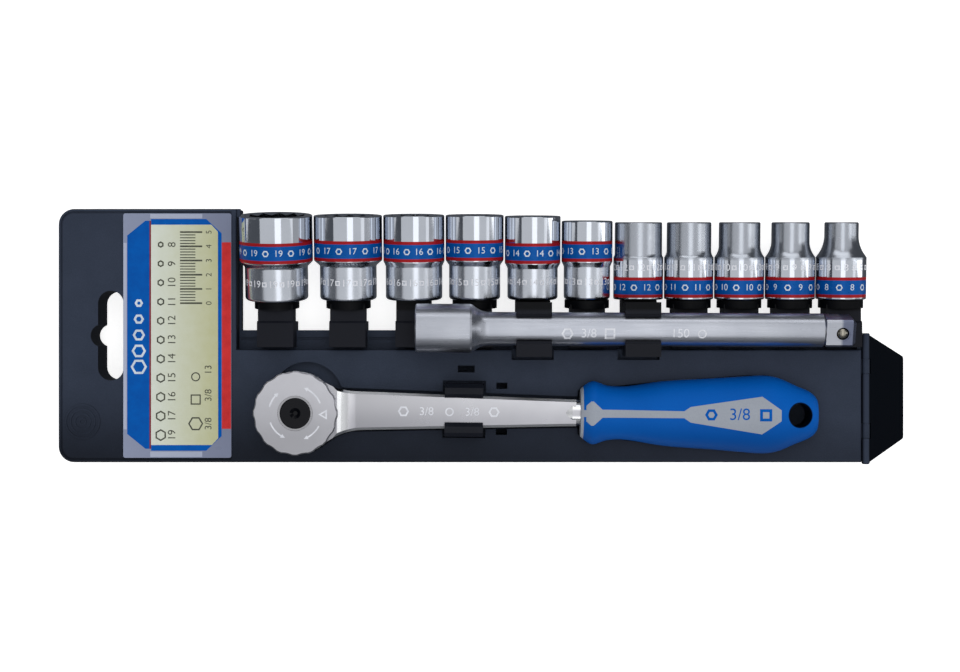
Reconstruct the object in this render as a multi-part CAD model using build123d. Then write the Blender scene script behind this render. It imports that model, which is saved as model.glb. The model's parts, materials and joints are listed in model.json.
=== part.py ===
from build123d import *
import os
from math import asin, atan2, cos, degrees, pi, radians, sin, sqrt, tan

# Hanging rack with a socket wrench set: a moulded tray with a label panel, a rail of posts that
# carry eleven sockets, an extension bar in two clips, and a reversible ratchet in its pocket.
# Millimetres. The rack lies on its back: +Z out of its face, +X away from the hanging end, +Y
# from the ratchet towards the sockets. The origin is under the middle of the whole set, in the
# plane of the back.

# ---- Tray -------------------------------------------------------------------------------------
tray_width = 89.3
strip_past_last_post = 7.05
strip_past_handle = 12.0
tray_depth = 15.0
tray_wall = 2.0
face_thickness = 2.2
edge_round = 0.8
panel_length = 62.8
panel_corner_round = 5.5
strip_width = 39.75
rib_thickness = 1.4
rib_depth = 6.0
rib_pitch = 44.0

# The lowered border beside the panel and above the strip, which ends in the rail.
rail_width = 6.85
rail_height = 8.0
rail_thickness = 4.0
rail_groove_width = 1.0
rail_groove_depth = 0.8
rail_groove_inset = 3.0
ledge_width = 0.8
ear_width = 1.2
ear_length = 2.9

# The raised rim round the panel, and a ring boss near its lower corner.
rim_width = 0.9
rim_groove_width = 0.7
rim_groove_depth = 0.6
boss_from_left = 8.6
boss_from_bottom = 14.4
boss_height = 0.35
boss_line = 0.6
boss_radii = (6.2, 4.6, 3.0, 1.4)

# The hanging slot, with a rounded bump for the hook.
slot_length = 31.6
slot_width = 9.0
slot_from_left = 14.0
slot_wall = 1.6
bump_radius = 4.0
bump_reach = 2.6

# The printed card on the panel.
card_width = 38.0
card_height = 86.0
card_thickness = 0.6
card_corner_round = 0.8
card_from_edge = 1.8

# ---- End flap ---------------------------------------------------------------------------------
flap_gap = 0.3
flap_length = 19.8
flap_thickness = 1.8
flap_tip_width = 29.3
flap_corner_round = 1.2
flap_slope = 38.0
barrel_radius = 1.4
barrel_inset = 1.4
barrel_overhang = 0.4
hinge_shelf_thickness = 1.2
knuckle_width = 5.0
knuckle_gap = 0.15
hinge_pin_radius = 0.7
hinge_pin_clearance = 0.05
hinge_pin_head = 0.3
hinge_pin_head_radius = 1.2

# ---- Sockets ----------------------------------------------------------------------------------
# Name, jaw size, mouth diameter, drive end diameter, length, height of the step between the two
# diameters, and how far the post leans it forward in degrees.
socket_table = (
    ("19", 19.0, 25.7, 22.1, 29.8, 13.55, 9.0),
    ("17", 17.0, 24.0, 19.9, 29.6, 13.8, 7.0),
    ("16", 16.0, 21.5, 19.9, 29.7, 13.5, 6.5),
    ("15", 15.0, 20.4, 18.0, 29.7, 13.8, 6.0),
    ("14", 14.0, 19.6, 17.7, 29.3, 12.8, 5.5),
    ("13", 13.0, 17.9, 16.3, 27.6, 13.3, 5.0),
    ("12", 12.0, 16.6, 17.5, 27.1, 14.8, 4.0),
    ("11", 11.0, 15.6, 17.3, 27.1, 14.8, 4.0),
    ("10", 10.0, 14.5, 17.5, 27.1, 14.8, 4.0),
    ("09", 9.0, 13.3, 17.5, 27.1, 14.8, 4.0),
    ("08", 8.0, 11.9, 17.6, 27.1, 14.8, 4.0),
)
socket_gap = 0.42
first_socket_gap = 1.15
socket_axis_height = 13.0
socket_seat_above_rail = 10.95
large_step_length = 1.8
large_nut_depth = 13.5
small_neck_slope = 1.35
small_neck_round_ratio = 4.0
small_nut_depth = 11.5
socket_foot_round = 1.1
socket_step_round = 0.8
socket_mouth_round = 0.5
jaw_clearance = 0.1
jaw_bevel_depth = 1.2
jaw_bevel_margin = 0.25
passage_margin = 0.3

# The 3/8 inch square drive, shared by the sockets, the bar and the ratchet.
drive_square = 9.53
drive_clearance = 0.1
drive_depth = 11.0
drive_ball_from_tip = 4.6
drive_groove_width = 2.6
drive_groove_depth = 0.8

# ---- Posts ------------------------------------------------------------------------------------
post_base_width = 12.7
post_base_front = 19.0
post_base_above_rail = 3.2
post_base_above_strip = 0.85
post_base_bevel = 0.8
post_hook_thickness = 2.0
post_hook_length = 4.0
post_tongue_clearance = 0.1
post_neck_width = 12.2
post_neck_depth = 10.5
collar_radius = 7.85
collar_thickness = 2.8
seat_gap = 0.2
peg_width = 9.1
peg_length = 9.5
peg_bevel = 1.2
plain_posts = ("16", "14", "12")

# ---- Extension bar and its clips --------------------------------------------------------------
bar_axis_height = 28.0
bar_above_rail_edge = 0.6
bar_before_first_clip = 40.7
bar_length = 150.9
bar_radius = 5.75
bar_head_radius = 8.45
bar_head_length = 19.1
bar_head_bevel = 0.4
bar_shoulder_length = 3.8
bar_shoulder_round = 7.6
bar_square_length = 10.2
bar_square_bevel = 1.2
bar_end_bevel = 0.7
bar_roll = 16.0
bar_slew = -0.28
bar_ball_radius = 2.1
bar_ball_proud = 0.8
bar_ball_clearance = 0.07
bar_ball_hole_depth = 6.4
bar_ball_ring_radius = 2.6
bar_ball_ring_depth = 0.2
bar_spring_wire = 0.35
bar_spring_turns = 4
clip_posts = ("14", "12")
clip_width = 12.2
clip_wall_upper = 3.1
clip_wall_lower = 3.5
clip_clearance = 0.3
clip_overlap = 2.1
clip_jaw_rise = 5.4
clip_lead_in = 1.5
clip_corner_bevel = 2.0
clip_notch_margin = 1.3
clip_notch_depth = 4.0
clip_notch_wall = 1.2

# ---- Ratchet ----------------------------------------------------------------------------------
# Its own frame has +X from the middle of the head towards the handle, and z = 0 half way up it.
# The shank, the handle and their clip lie a little to one side of the head's middle.
ratchet_from_panel = 21.9
ratchet_from_bottom = 17.8
ratchet_slew = -0.58
shank_aside = 0.9
head_radius = 14.4
head_thickness = 12.0
head_edge_bevel = 0.6
shank_thickness = 8.0
shank_edge_bevel = 0.9
neck_half_width = 6.75
neck_from_head = 20.5
neck_flare_round = 22.0
neck_ramp_radius = 11.0
shank_half_width = 4.6
shank_length = 97.3
shank_stub_radius = 4.65
shank_stub_inside = 1.3
shank_stub_slope = 2.6
shank_stub_sink = 0.1
tang_radius = 4.0
tang_length = 30.0
shank_stub_length = 1.6

gear_tip_radius = 8.2
gear_root_radius = 7.5
gear_teeth = 30
gear_clearance = 0.4
gear_end_play = 0.1
journal_radius = 7.2
journal_clearance = 0.08
head_top_wall = 1.6
hub_radius = 6.0
square_length = 10.6
square_bevel = 0.8
square_corner_radius = 6.35
cover_radius = 12.9
cover_thickness = 1.4
cover_clearance = 0.05
circlip_thickness = 0.8
circlip_groove_depth = 0.55
circlip_inner_radius = 11.4
circlip_opening = 7.0
circlip_recess = 0.4

pawl_pivot_from_axis = 10.4
pawl_inner_radius = 9.1
pawl_outer_radius = 11.8
pawl_half_width = 4.8
pawl_pocket_radius = 12.6
pawl_pocket_half_width = 5.3
pawl_pivot_radius = 1.3
pawl_pivot_clearance = 0.06
pawl_pin_from_axis = 11.0
pawl_pin_radius = 0.7
pawl_pin_window = 0.25
pawl_ball_radius = 1.2
pawl_ball_gap = 0.15
pawl_ball_clearance = 0.1
pawl_spring_wire = 0.3
pawl_spring_length = 3.6
pawl_spring_turns = 5

dial_radius = 14.6
dial_thickness = 3.0
dial_gap = 0.1
dial_scallops = 16
dial_scallop_radius = 8.5
dial_scallop_depth = 0.35
dial_edge_bevel = 0.4
dial_bore_clearance = 0.08
dial_swing = 20.0
dial_slot_play = 0.5
dial_slot_depth = 1.4
dial_slot_margin = 0.25
dial_ring_height = 0.5
dial_ring_bite = 0.25
dial_ring_proud = 0.3
dial_ring_play = 0.1
dial_ring_from_top = 1.3

button_radius = 5.3
button_thickness = 2.5
button_clearance = 0.05
button_travel = 2.5
button_dimple_radius = 1.9
button_dimple_floor_radius = 0.75
button_dimple_depth = 1.0
button_edge_round = 0.4
stem_radius = 1.9
stem_bore_clearance = 0.12
stem_land_below_ball = 1.0
stem_neck_above_ball = 5.0
stem_bore_end_wall = 0.7
release_spring_space = 6.0
release_spring_wire = 0.6
release_spring_turns = 4
ball_radius = 1.75
ball_proud = 0.75
ball_clearance = 0.07
spring_clearance = 0.15

# The handle's half width at each distance from its front end.
handle_stations = (
    (0.0, 8.3),
    (1.1, 9.3),
    (4.4, 11.05),
    (7.6, 10.1),
    (11.0, 9.35),
    (25.2, 10.8),
    (44.5, 12.35),
    (60.0, 13.5),
    (65.5, 13.55),
    (69.5, 12.7),
    (76.0, 9.9),
    (81.3, 7.3),
    (82.7, 5.6),
)
handle_flatness = 0.77
handle_ring_length = 0.9
core_width = 14.4
core_height = 10.4
core_corner_round = 3.0
core_length = 70.0
hang_hole_radius = 4.2
hang_hole_from_front = 75.7
seam_half_height = 0.4
seam_start = 30.0
seam_end = 69.0
# Half outline of the grey inlay in the grip: a spade, a narrow stripe and a kite.
inlay_outline = (
    (0.5, 1.2),
    (1.7, 1.2),
    (1.7, 2.7),
    (3.4, 4.2),
    (4.2, 4.2),
    (7.3, 1.4),
    (35.4, 1.2),
    (37.6, 2.7),
    (62.2, 6.5),
    (68.8, 1.9),
)

# ---- The ratchet's pocket and clip ------------------------------------------------------------
pocket_floor = 12.0
pocket_rest_gap = 0.2
head_pocket_margin = 0.5
# A round notch beside the head lets a finger under the dial.
finger_notch_radius = 12.7
finger_notch_along = 2.9
finger_notch_across = 4.9
shank_pocket_margin = 0.9
handle_pocket_margin = 0.8
handle_pocket_gap = 0.3
well_radius = 7.6
well_floor = 1.0
pocket_wall = 1.6
shank_clip_from_head = 58.2
shank_clip_length = 13.3
shank_clip_end_gap = 0.9
shank_clip_base = 2.0
shank_clip_clearance = 0.3
shank_clip_overlap = 1.4
shank_clip_aside = 0.6
shank_clip_jaw_width = 4.9
shank_clip_rise = 2.6
shank_clip_lead_in = 1.3
shank_clip_corner_bevel = 1.4
window_clearance = 0.05
# Blind slots in the face: place along and across from the shank's axis, length and width.
blind_slots = (
    (58.8, 14.8, 5.9, 2.4),
    (71.4, 9.0, 3.9, 2.2),
    (71.4, -7.2, 3.9, 2.2),
)
blind_slot_floor = 5.0
blind_slot_wall = 1.2

# How far a cut runs past the face that it opens, and a joined piece into its neighbour.
overcut = 1.0
# How close a corner or an edge lies to the place it is looked for at.
near = 0.1

# ---- Places that follow from the sizes --------------------------------------------------------
socket_widths = [max(mouth, drive) for name, jaw, mouth, drive, length, step, lean in socket_table]
row_length = first_socket_gap + sum(socket_widths) + (len(socket_widths) - 1) * socket_gap
handle_from_head = shank_length + shank_stub_length
handle_length = handle_stations[-1][0]
ratchet_reach = ratchet_from_panel + handle_from_head + handle_length
last_post_place = row_length - socket_widths[-1] / 2
strip_length = max(last_post_place + strip_past_last_post, ratchet_reach + strip_past_handle)
tray_length = panel_length + strip_length

hinge_from_left = tray_length + flap_gap + barrel_radius
slope = radians(flap_slope)
flap_reach = flap_length * cos(slope) + flap_thickness / 2 * sin(slope)
overall_length = hinge_from_left + flap_reach
overall_width = tray_width + barrel_overhang + hinge_pin_head

tray_left = -overall_length / 2
tray_right = tray_left + tray_length
tray_bottom = -overall_width / 2 + hinge_pin_head + barrel_overhang
tray_top = tray_bottom + tray_width
panel_right = tray_left + panel_length
panel_middle = (tray_bottom + tray_top) / 2
strip_top = tray_bottom + strip_width
rail_edge = strip_top + rail_width
hinge_x = tray_left + hinge_from_left
hinge_z = tray_depth - barrel_radius
barrel_top = rail_edge - barrel_inset
barrel_bottom = tray_bottom - barrel_overhang
barrel_middle = (barrel_bottom + barrel_top) / 2
barrel_length = barrel_top - barrel_bottom
knuckle_places = [barrel_middle + side * barrel_length / 4 for side in (-1, 1)]

seat_y = rail_edge + socket_seat_above_rail
drive_hole = drive_square + 2 * drive_clearance


def socket_centres():
    """X of each socket's axis: side by side along the rail, with the same gap between them."""
    centres = {}
    edge = panel_right + first_socket_gap
    for row, width in zip(socket_table, socket_widths):
        centres[row[0]] = edge + width / 2
        edge += width + socket_gap
    return centres


post_x = socket_centres()
bar_y = rail_edge + bar_above_rail_edge
bar_start = post_x[clip_posts[0]] - bar_before_first_clip
clips_middle = sum(post_x[name] for name in clip_posts) / len(clip_posts)
bar_clip_y = bar_y + (clips_middle - bar_start) * tan(radians(bar_slew))
bar_clip_low = bar_clip_y - bar_radius - clip_clearance - clip_wall_lower

head_half = head_thickness / 2
shank_half = shank_thickness / 2
ratchet_z = pocket_floor + pocket_rest_gap + head_half
ratchet_place = Location(
    (panel_right + ratchet_from_panel, tray_bottom + ratchet_from_bottom, ratchet_z),
    (0, 0, ratchet_slew),
)
shank_taper = atan2(neck_half_width - shank_half_width, shank_length - neck_from_head)
shank_root = neck_half_width + neck_from_head * tan(shank_taper)
clip_floor = ratchet_z - shank_half - shank_clip_clearance - shank_clip_base
shank_line = Pos(0, shank_aside)
clip_line = Pos(shank_clip_from_head, shank_aside + shank_clip_aside)
ball_height = -head_half - square_length + drive_ball_from_tip


# ---- Helpers ----------------------------------------------------------------------------------
def block(x0, x1, y0, y1, z0, z1):
    """Box between two corners."""
    return Pos((x0 + x1) / 2, (y0 + y1) / 2, (z0 + z1) / 2) * Box(x1 - x0, y1 - y0, z1 - z0)


def plate(x0, x1, y0, y1):
    """Flat rectangle between two corners."""
    return Pos((x0 + x1) / 2, (y0 + y1) / 2) * Rectangle(x1 - x0, y1 - y0)


def rod(radius, z0, z1):
    """Upright cylinder between two heights."""
    return Pos(0, 0, (z0 + z1) / 2) * Cylinder(radius, z1 - z0)


def prism(plan, z0, z1):
    """A flat plan raised from one height to another."""
    return Pos(0, 0, z0) * extrude(plan, z1 - z0, dir=(0, 0, 1))


def turned(profile):
    """Solid of revolution about Z from (radius, height) points."""
    return revolve(Plane.XZ * profile, Axis.Z)


def mirrored_outline(half_outline):
    """Closed plan from the half outline on one side of the X axis."""
    other_side = [(x, -y) for x, y in reversed(half_outline)]
    return Polygon(*half_outline, *other_side, align=None)


def along_x(shape):
    """Turns an upright shape so that its +Z points along +X."""
    return Rot(0, 90, 0) * shape


def along_y(shape):
    """Turns an upright shape so that its +Z points along +Y."""
    return Rot(-90, 0, 0) * shape


def coil_spring(radius, wire, length, turns):
    """Open coil spring standing on z = 0, with its wire inside the given length."""
    path = Helix(pitch=(length - wire) / turns, height=length - wire, radius=radius)
    section = Plane(origin=path @ 0, z_dir=path % 0) * Circle(wire / 2)
    return Pos(0, 0, wire / 2) * sweep(section, path=path)


# ---- Tray and what is fixed to it -------------------------------------------------------------
def tray_plan():
    """Plan of the tray: the tall label panel and the low strip beside it."""
    plan = plate(tray_left, panel_right, tray_bottom, tray_top)
    plan += plate(tray_left, tray_right, tray_bottom, strip_top)
    left_corners = plan.vertices().group_by(Axis.X)[0]
    return fillet(left_corners, panel_corner_round)


def slot_plan(margin=0.0):
    """The hanging slot across the panel, with its bump towards the hanging end."""
    left = tray_left + slot_from_left
    slot = Pos(left + slot_width / 2, panel_middle) * Rot(0, 0, 90)
    slot *= SlotOverall(slot_length + 2 * margin, slot_width + 2 * margin)
    bump_x = left - bump_reach + bump_radius
    return slot + Pos(bump_x, panel_middle) * Circle(bump_radius + margin)


def shank_plan(margin=0.0):
    """Plan of the shank from the head's middle to the handle, tapering from the neck."""
    half_outline = ((0, shank_root + margin), (shank_length, shank_half_width + margin))
    return shank_line * mirrored_outline(half_outline)


def neck_flare(aside, margin):
    """Corner between the head's circle and one edge of the shank, hollowed by the flare's round."""
    radius = neck_flare_round - margin
    edge = (aside + shank_root) * cos(shank_taper) + margin
    along = sqrt((head_radius + neck_flare_round) ** 2 - (edge + radius) ** 2)
    centre = Vector(along, edge + radius).rotate(Axis.Z, -degrees(shank_taper))
    foot = Vector(along, edge).rotate(Axis.Z, -degrees(shank_taper))
    corner = Polygon((0, 0), (foot.X, 0), (foot.X, foot.Y), (centre.X, centre.Y), align=None)
    return corner - Pos(centre.X, centre.Y) * Circle(radius)


def neck_plan(margin=0.0):
    """The tapering shank with the flared corners that lead into the head's circle."""
    plan = shank_plan(margin) + neck_flare(shank_aside, margin)
    return plan + mirror(neck_flare(-shank_aside, margin), about=Plane.XZ)


def handle_plan():
    """Where the handle's oval dips below the tray's face, with the pocket's margin round it."""
    drop = ratchet_z - tray_depth
    half_outline = []
    for distance, half_width in handle_stations:
        sink = min(1.0, drop / (half_width * handle_flatness))
        half_outline.append((distance + handle_from_head, half_width * sqrt(1 - sink**2)))
    return shank_line * offset(mirrored_outline(half_outline), handle_pocket_margin)


def clip_window_plan(margin=0.0):
    """Window in the face that the ratchet's clip sits in."""
    half_length = shank_clip_length / 2 + shank_clip_end_gap + margin
    half_width = shank_clip_outer() + shank_clip_end_gap + margin
    return clip_line * Rectangle(2 * half_length, 2 * half_width)


def shank_half_width_at(distance):
    """Half the shank's width at a distance from the head's middle."""
    share = (distance - neck_from_head) / (shank_length - neck_from_head)
    return neck_half_width + share * (shank_half_width - neck_half_width)


def shank_clip_lip():
    """Distance from the clip's own middle to the lips that hold the shank down."""
    return shank_half_width_at(shank_clip_from_head) - shank_clip_overlap


def shank_clip_outer():
    """Distance from the clip's own middle to the outside of each jaw."""
    return shank_clip_lip() + shank_clip_jaw_width


def pocket_floors():
    """The ratchet's pocket as (plan, floor height) pairs, in the ratchet's plan frame."""
    head = Circle(head_radius + head_pocket_margin)
    notch = Pos(finger_notch_along, finger_notch_across) * Circle(finger_notch_radius)
    stub_half = shank_stub_radius + shank_pocket_margin
    stub = shank_line * plate(neck_from_head, handle_from_head, -stub_half, stub_half)
    thickest = max(half_width for distance, half_width in handle_stations)
    handle_floor = ratchet_z - thickest * handle_flatness - handle_pocket_gap
    return (
        (head, pocket_floor),
        (neck_plan(head_pocket_margin), pocket_floor),
        (notch, pocket_floor),
        (shank_plan(shank_pocket_margin), pocket_floor),
        (stub, pocket_floor),
        (handle_plan(), handle_floor),
    )


def clip_notch(name, margin, floor, top):
    """Room round the lower jaw of a bar clip, where it stands over the strip's edge."""
    half_length = clip_width / 2 + clip_notch_margin + margin
    low = bar_clip_low - clip_notch_margin - margin
    x = post_x[name]
    return block(x - half_length, x + half_length, low, strip_top, floor, top)


def in_ratchet_plan(shape):
    """Places a shape drawn in the ratchet's plan over the tray, keeping its heights."""
    return Location((0, 0, -ratchet_z)) * ratchet_place * shape


def tray():
    """The moulded tray: an open-backed shell with its rail, slot, pockets and hinge knuckles."""
    plan = tray_plan()
    shell = extrude(plan, tray_depth)
    face_edges = shell.faces().sort_by(Axis.Z)[-1].outer_wire().edges()
    shell = fillet(face_edges, edge_round)
    under_face = tray_depth - face_thickness
    shell -= extrude(offset(plan, -tray_wall, kind=Kind.INTERSECTION), under_face)

    # Walls and ribs behind the face, up to half way into its thickness.
    inside_face = tray_depth - face_thickness / 2
    rib_bottom = under_face - rib_depth
    rib_count = int(tray_length / rib_pitch)
    for i in range(1, rib_count + 1):
        x = tray_left + i * rib_pitch
        top = tray_top if x < panel_right else strip_top
        side = rib_thickness / 2
        inner = tray_wall / 2
        shell += block(x - side, x + side, tray_bottom + inner, top - inner, rib_bottom, inside_face)
    shell += prism(slot_plan(slot_wall), 0, inside_face)
    for pocket, floor in pocket_floors():
        walls = prism(offset(pocket, pocket_wall), floor - pocket_wall, inside_face)
        shell += in_ratchet_plan(walls) & prism(plan, 0, inside_face)
    shell += in_ratchet_plan(rod(well_radius + pocket_wall, 0, pocket_floor))
    frame = clip_window_plan(pocket_wall)
    shell += in_ratchet_plan(prism(frame, clip_floor - pocket_wall, inside_face))
    for along, across, length, width in blind_slots:
        cup = Rectangle(length + 2 * blind_slot_wall, width + 2 * blind_slot_wall)
        cup = shank_line * Pos(along, across) * cup
        shell += in_ratchet_plan(prism(cup, blind_slot_floor - blind_slot_wall, inside_face))
    notch_floor = tray_depth - clip_notch_depth
    for name in clip_posts:
        shell += clip_notch(name, clip_notch_wall, notch_floor - clip_notch_wall, inside_face)

    # The lowered border: a ledge beside the panel and the rail above the strip.
    rail_back = rail_height - rail_thickness
    ledge_right = panel_right + ledge_width
    shell += block(panel_right - tray_wall / 2, ledge_right, strip_top - tray_wall / 2, tray_top,
                   rail_back, rail_height)
    shell += block(panel_right, tray_right, strip_top - tray_wall / 2, rail_edge, rail_back, rail_height)
    shell += block(panel_right - tray_wall / 2, panel_right + ear_width, tray_top - ear_length, tray_top,
                   under_face, tray_depth - edge_round)
    groove_y = rail_edge - rail_groove_inset
    half_groove = rail_groove_width / 2
    shell -= block(ledge_right, tray_right + overcut, groove_y - half_groove, groove_y + half_groove,
                   rail_height - rail_groove_depth, rail_height + overcut)

    # A shelf behind the hinge's barrel, and the knuckles, joined to the end wall by webs.
    shelf_top = hinge_z - barrel_radius - flap_gap
    shell += block(tray_right - tray_wall / 2, hinge_x, tray_bottom, barrel_top,
                   shelf_top - hinge_shelf_thickness, shelf_top)
    for y in knuckle_places:
        knuckle = along_y(rod(barrel_radius, -knuckle_width / 2, knuckle_width / 2))
        shell += Pos(hinge_x, y, hinge_z) * knuckle
        shell += block(tray_right - tray_wall / 2, hinge_x, y - knuckle_width / 2,
                       y + knuckle_width / 2, hinge_z - barrel_radius, hinge_z)
        bore = along_y(rod(hinge_pin_radius, -knuckle_width, knuckle_width))
        shell -= Pos(hinge_x, y, hinge_z) * bore

    # What is cut from the face: the rim's groove, the slot, the pockets and the notches.
    panel = plate(tray_left, panel_right, tray_bottom, tray_top)
    panel = fillet(panel.vertices().group_by(Axis.X)[0], panel_corner_round)
    rim = offset(panel, -rim_width, kind=Kind.INTERSECTION)
    rim -= offset(panel, -rim_width - rim_groove_width, kind=Kind.INTERSECTION)
    rim &= plate(tray_left, panel_right - 2 * rim_width, tray_bottom, tray_top)
    over_face = tray_depth + overcut
    shell -= prism(rim, tray_depth - rim_groove_depth, over_face)
    shell -= prism(slot_plan(), -overcut, over_face)
    for pocket, floor in pocket_floors():
        shell -= in_ratchet_plan(prism(pocket, floor, over_face))
    shell -= in_ratchet_plan(rod(well_radius, well_floor, over_face))
    shell -= in_ratchet_plan(prism(clip_window_plan(), clip_floor, over_face))
    for along, across, length, width in blind_slots:
        slot = shank_line * Pos(along, across) * Rectangle(length, width)
        shell -= in_ratchet_plan(prism(slot, blind_slot_floor, over_face))
    for name in clip_posts:
        shell -= clip_notch(name, 0, notch_floor, over_face)

    # Raised rings near the panel's lower corner.
    for radius in boss_radii:
        ring = Circle(radius) - Circle(radius - boss_line)
        centre = Pos(tray_left + boss_from_left, tray_bottom + boss_from_bottom)
        shell += centre * prism(ring, tray_depth - edge_round / 2, tray_depth + boss_height)
    return shell


def label_card():
    """The printed card that lies on the panel, just inside its edge."""
    right = panel_right - card_from_edge
    centre = Pos(right - card_width / 2, panel_middle)
    card = centre * RectangleRounded(card_width, card_height, card_corner_round)
    return prism(card, tray_depth, tray_depth + card_thickness)


def end_flap():
    """The flap on the tray's end: a tapering plate hanging from a barrel along its hinge."""
    half_root = barrel_length / 2
    half_tip = flap_tip_width / 2
    plan = mirrored_outline(((0, half_root), (flap_length, half_tip)))
    plan = fillet(plan.vertices().group_by(Axis.X)[-1], flap_corner_round)
    flap = prism(plan, -flap_thickness / 2, flap_thickness / 2)
    flap += along_y(rod(barrel_radius, -half_root, half_root))
    for y in knuckle_places:
        room = knuckle_width / 2 + knuckle_gap
        reach = barrel_radius + flap_gap
        centre = y - barrel_middle
        flap -= block(-reach, reach, centre - room, centre + room, -reach, reach)
    bore = hinge_pin_radius + hinge_pin_clearance
    flap -= along_y(rod(bore, -half_root - overcut, half_root + overcut))
    return Pos(hinge_x, barrel_middle, hinge_z) * Rot(0, flap_slope, 0) * flap


def hinge_pin():
    """The flap's pin, with a rounded head at each end of the barrel."""
    half = barrel_length / 2
    pin = rod(hinge_pin_radius, -half, half)
    for side in (-1, 1):
        outer = side * (half + hinge_pin_head)
        head = rod(hinge_pin_head_radius, min(side * half, outer), max(side * half, outer))
        rim = head.edges().sort_by(Axis.Z)[-1 if side > 0 else 0]
        pin += fillet(rim, hinge_pin_head / 2)
    return Pos(hinge_x, barrel_middle, hinge_z) * along_y(pin)


# ---- Sockets and posts ------------------------------------------------------------------------
def on_post(name, lean, shape):
    """Stands an upright shape on a post: its +Z along the post's leaning axis."""
    return Pos(post_x[name], seat_y, socket_axis_height) * Rot(lean - 90, 0, 0) * shape


def large_socket_profile(mouth, drive, length, step):
    """Half section of a socket whose mouth is wider than its drive end, below the step's top."""
    outline = Polygon(
        (0, 0),
        (drive / 2, 0),
        (drive / 2, step - large_step_length),
        (mouth / 2, step),
        (mouth / 2, length),
        (0, length),
        align=None,
    )
    corners = [v for v in outline.vertices() if v.X > near]
    middle = [v for v in corners if near < v.Y < length - near]
    outline = fillet(middle, socket_step_round)
    foot = [v for v in outline.vertices() if v.X > near and v.Y < near]
    outline = fillet(foot, socket_foot_round)
    top = [v for v in outline.vertices() if v.X > near and v.Y > length - near]
    return fillet(top, socket_mouth_round)


def small_socket_profile(mouth, drive, length, step):
    """Half section of a socket whose mouth is narrower than its drive end, above the step."""
    rise = (drive - mouth) / 2
    neck_top = step + small_neck_slope * rise
    outline = Polygon(
        (0, 0),
        (drive / 2, 0),
        (drive / 2, step),
        (mouth / 2, neck_top),
        (mouth / 2, length),
        (0, length),
        align=None,
    )
    neck = [v for v in outline.vertices() if v.X > near and abs(v.Y - neck_top) < near]
    outline = fillet(neck, small_neck_round_ratio * rise)
    ends = [v for v in outline.vertices() if v.X > near and (v.Y < near or v.Y > length - near)]
    return fillet(ends, socket_mouth_round)


def socket(name, jaw, mouth, drive, length, step, lean):
    """A twelve-point socket: jaws at the top, the square drive hole with its ball groove below."""
    if mouth > drive:
        nut_depth = large_nut_depth
        body = turned(large_socket_profile(mouth, drive, length, step))
    else:
        nut_depth = small_nut_depth
        body = turned(small_socket_profile(mouth, drive, length, step))
    flat = jaw / 2 + jaw_clearance
    hexagon = RegularPolygon(flat, 6, major_radius=False)
    twelve_points = hexagon + Rot(0, 0, 30) * hexagon
    body -= prism(twelve_points, length - nut_depth, length + overcut)
    bevel_radius = flat / cos(pi / 6) + jaw_bevel_margin
    bevel = Cone(flat, bevel_radius, jaw_bevel_depth)
    body -= Pos(0, 0, length - jaw_bevel_depth / 2) * bevel
    passage = min(drive_hole, jaw) / 2 - passage_margin
    body -= rod(passage, overcut, length - overcut)
    body -= prism(Rectangle(drive_hole, drive_hole), -overcut, drive_depth)
    groove_low = drive_ball_from_tip + seat_gap - drive_groove_width / 2
    groove = rod(drive_hole / 2 + drive_groove_depth, groove_low, groove_low + drive_groove_width)
    body -= groove
    return on_post(name, lean, body)


def post(name, lean):
    """A post clipped round the rail, with a square peg that a socket stands on."""
    x = post_x[name]
    half_base = post_base_width / 2
    shoulder = rail_edge + post_base_above_rail
    hook_bottom = rail_height - rail_thickness - post_hook_thickness
    base = block(x - half_base, x + half_base, strip_top + post_base_above_strip, shoulder,
                 rail_height, post_base_front)
    front_top = [e for e in base.edges().filter_by(Axis.X) if e.center().Y > shoulder - near
                 and e.center().Z > post_base_front - near]
    base = chamfer(front_top, post_base_bevel)
    base += block(x - half_base, x + half_base, rail_edge, shoulder, hook_bottom, rail_height)
    base += block(x - half_base, x + half_base, rail_edge - post_hook_length, rail_edge,
                  hook_bottom, rail_height - rail_thickness)
    tongue = rail_groove_width / 2 - post_tongue_clearance
    groove_y = rail_edge - rail_groove_inset
    base += block(x - half_base, x + half_base, groove_y - tongue, groove_y + tongue,
                  rail_height - rail_groove_depth + post_tongue_clearance, rail_height)

    half_neck = post_neck_width / 2
    neck_back = socket_axis_height - post_neck_depth / 2
    neck_front = socket_axis_height + post_neck_depth / 2
    seat_low = seat_gap + collar_thickness
    base += block(x - half_neck, x + half_neck, shoulder - overcut, seat_y - seat_low + overcut,
                  neck_back, neck_front)
    if name in plain_posts:
        seat = prism(Rectangle(post_neck_width, post_neck_depth), -seat_low, -seat_gap)
    else:
        seat = rod(collar_radius, -seat_low, -seat_gap)
    peg = prism(Rectangle(peg_width, peg_width), -seat_low, peg_length)
    peg = chamfer(peg.faces().sort_by(Axis.Z)[-1].edges(), peg_bevel)
    return base + on_post(name, lean, seat + peg)


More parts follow.
